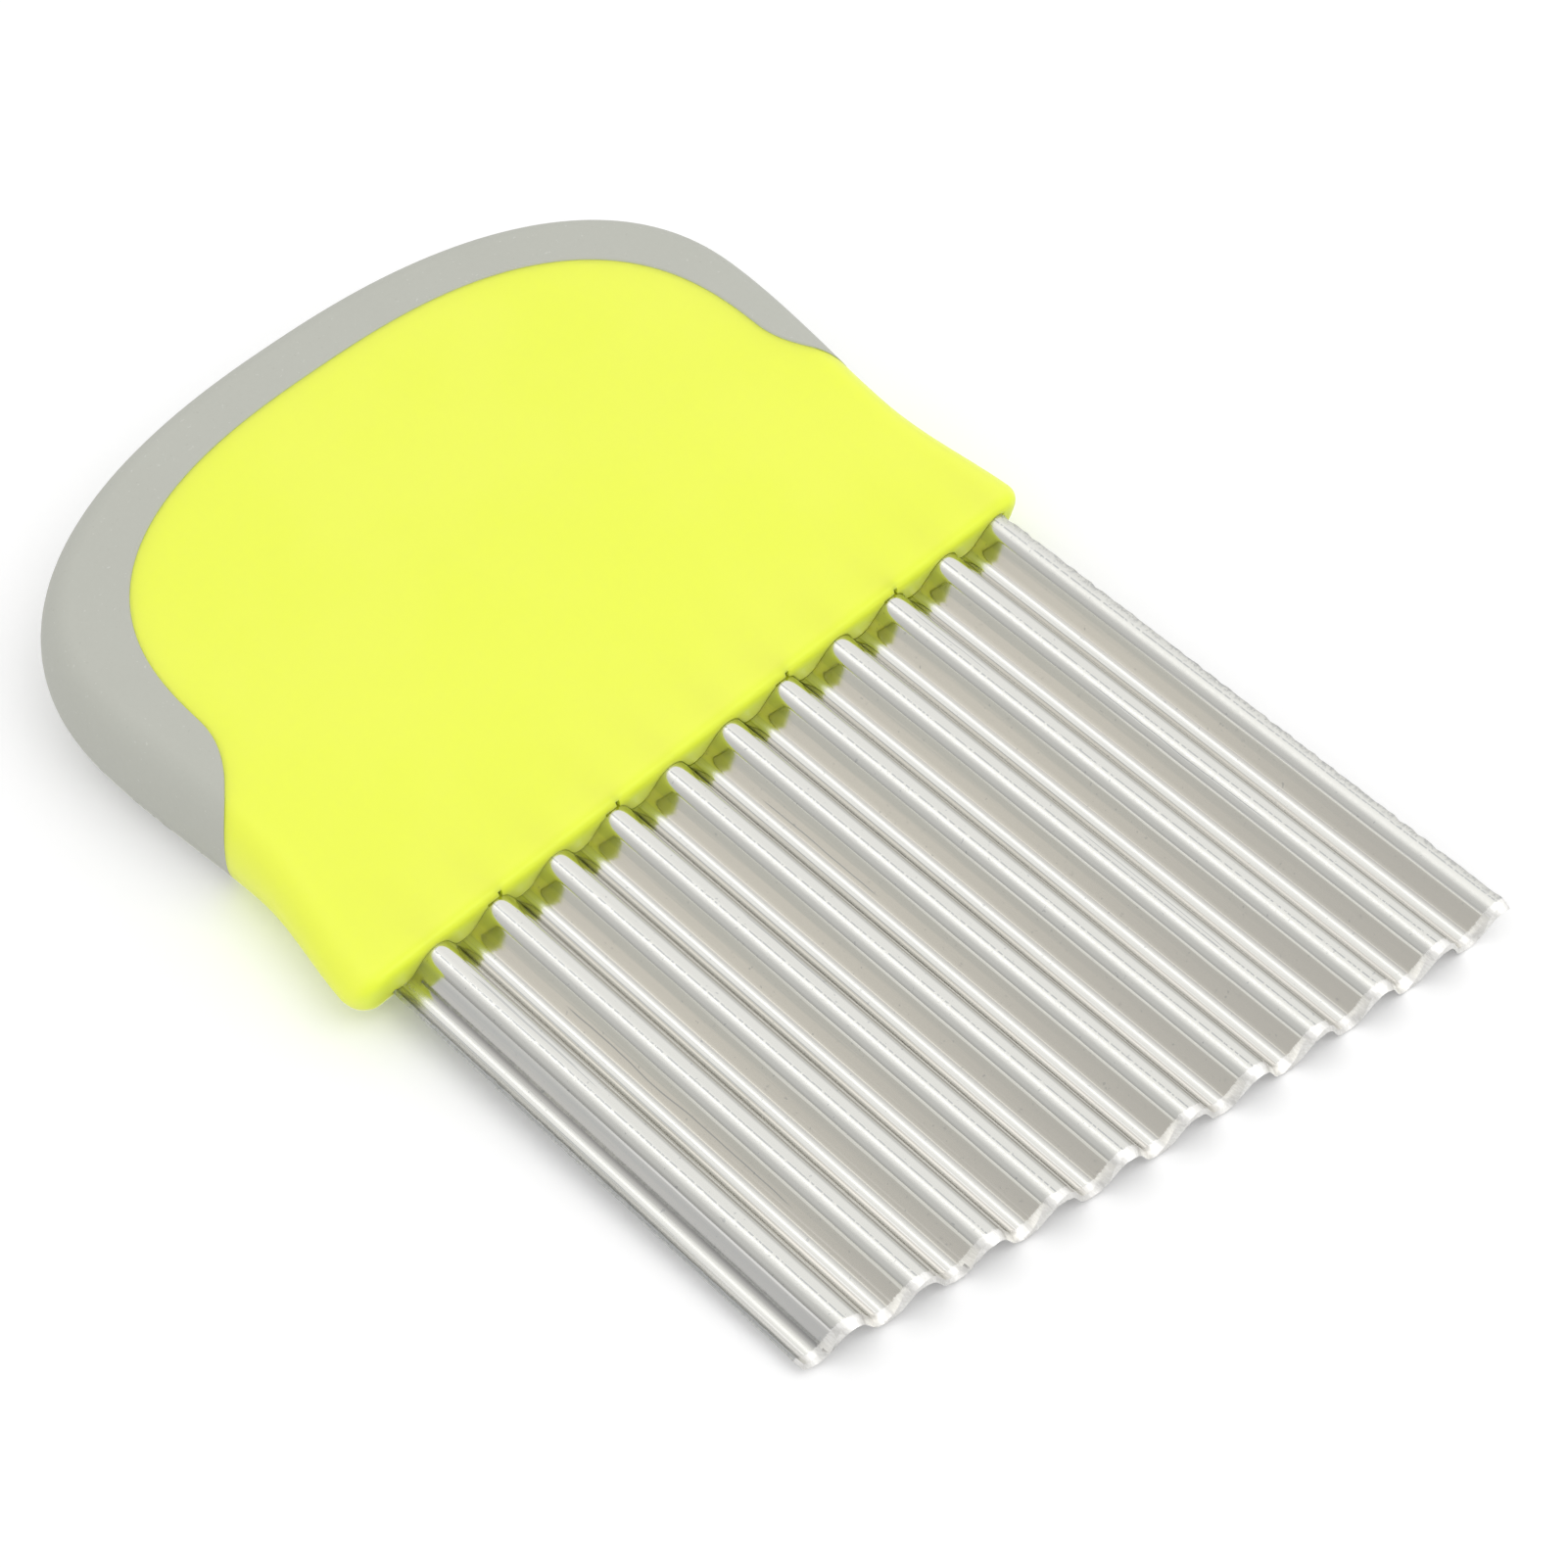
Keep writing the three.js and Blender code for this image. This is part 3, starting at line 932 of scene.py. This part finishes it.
studio = {
    "floorSize": 8.0,
    "floorColour": (0.93, 0.93, 0.93, 1),
    "floorRough": 0.9,
    "floorLift": 0.12,  # of its light, as the camera sees it
    "floorSlope": 0.0442,  # the cutter rests on its belly and the tip of its blade
    "restPlace": 31.1,
    "restHeight": -6.98,
    "skyStrength": 0.86,
    "skySeen": 1.2,  # in reflections, high up
    "leftSeen": 0.8,  # and how dim it is to the left and at the horizon
    "leftSpan": (-0.85, -0.1),
    "horizonSeen": 0.62,
    "horizonHeight": 0.45,
    "glow": 0.15,  # round the key, also seen only in reflections
    "glowEdge": 0.8,
}
black = (0, 0, 0, 1)
white = (1, 1, 1, 1)
# the key is what the crests mirror; the fill lights the front and throws the shadow to the left
lamps = {
    "keySoftbox": {"towards": (-0.19, 0.418, 0.889), "distance": 0.8, "size": (0.15, 0.6), "power": 0.18},
    "fillSoftbox": {"towards": (0.2, -0.4, 0.894), "distance": 0.9, "size": (0.6, 0.6), "power": 1.52},
}


def makeFloor():
    clearSelection()
    bpy.ops.mesh.primitive_plane_add(size=studio["floorSize"])
    floor = bpy.context.object
    floor.name = "floor"
    slope = math.atan(studio["floorSlope"])
    floor.location = spot(0, studio["restPlace"], studio["restHeight"])
    floor.rotation_euler = (-slope, 0, 0)
    finish, shader, place = newFinish("paleFloor")
    seen = place.node("ShaderNodeLightPath", {}, {}, "Is Camera Ray")
    feed(shader, {
        "Base Color": studio["floorColour"],
        "Roughness": studio["floorRough"],
        "Specular IOR Level": 0.0,
        "Emission Color": seen.mixColour(black, white),
        "Emission Strength": studio["floorLift"],
    })
    floor.data.materials.append(finish)


def makeSky():
    world = bpy.data.worlds.new("studioSky")
    bpy.context.scene.world = world
    world.use_nodes = True
    tree = world.node_tree
    background = tree.nodes["Background"]
    background.inputs["Color"].default_value = white
    sight = Wire(tree, tree.nodes.new("ShaderNodeTexCoord").outputs["Generated"])
    seen = sight.node("ShaderNodeLightPath", {}, {}, "Is Camera Ray")
    glossy = sight.node("ShaderNodeLightPath", {}, {}, "Is Glossy Ray")
    through = sight.node("ShaderNodeLightPath", {}, {}, "Is Transmission Ray")
    plain = seen.math("MAXIMUM", seen, through)
    rightward = sight.part(0).between(*studio["leftSpan"])
    across = rightward * (studio["skySeen"] - studio["leftSeen"]) + studio["leftSeen"]
    height = sight.part(2).between(0, studio["horizonHeight"])
    toKey = Vector(lamps["keySoftbox"]["towards"])
    facing = sight.node("ShaderNodeVectorMath", {"operation": "DOT_PRODUCT"}, {0: sight, 1: toKey}, "Value")
    glow = facing.between(studio["glowEdge"], 1) * studio["glow"]
    reflected = across * (height * (1 - studio["horizonSeen"]) + studio["horizonSeen"]) + glow
    strength = glossy * (reflected - studio["skyStrength"]) + studio["skyStrength"]
    strength = strength + plain * (1 - studio["skyStrength"])
    tree.links.new(strength.socket, background.inputs["Strength"])


def makeLamp(name, towards, distance, size, power):
    lamp = bpy.data.lights.new(name, "AREA")
    lamp.shape = "RECTANGLE"
    lamp.size, lamp.size_y = size
    lamp.energy = power
    holder = bpy.data.objects.new(name, lamp)
    bpy.context.scene.collection.objects.link(holder)
    direction = Vector(towards).normalized()
    holder.location = lipMiddle + direction * distance
    holder.rotation_mode = "QUATERNION"
    holder.rotation_quaternion = direction.to_track_quat("Z", "Y")


camera = {
    "target": (1.635, -10.319, 2.25),
    "azimuth": -43.681,
    "elevation": 54.697,
    "distance": 428.66,
    "focal": 4000.0,  # in pixels of the frame
    "frame": 1601.0,
    "sensor": 36.0,
    "clipStart": 0.01,
}


def makeCamera():
    turn = math.radians(camera["azimuth"])
    rise = math.radians(camera["elevation"])
    back = Vector((math.sin(turn) * math.cos(rise), -math.cos(turn) * math.cos(rise), math.sin(rise)))
    lens = bpy.data.cameras.new("photoCamera")
    lens.sensor_width = camera["sensor"]
    lens.lens = camera["sensor"] * camera["focal"] / camera["frame"]
    lens.clip_start = camera["clipStart"]
    holder = bpy.data.objects.new("photoCamera", lens)
    bpy.context.scene.collection.objects.link(holder)
    holder.location = spot(*camera["target"]) + back * camera["distance"] * mm
    holder.rotation_mode = "QUATERNION"
    holder.rotation_quaternion = back.to_track_quat("Z", "Y")
    bpy.context.scene.camera = holder


makeFloor()
makeSky()
for lampName, lampValues in lamps.items():
    makeLamp(lampName, **lampValues)
makeCamera()
bpy.context.scene.view_settings.view_transform = "Standard"
print("studio set")
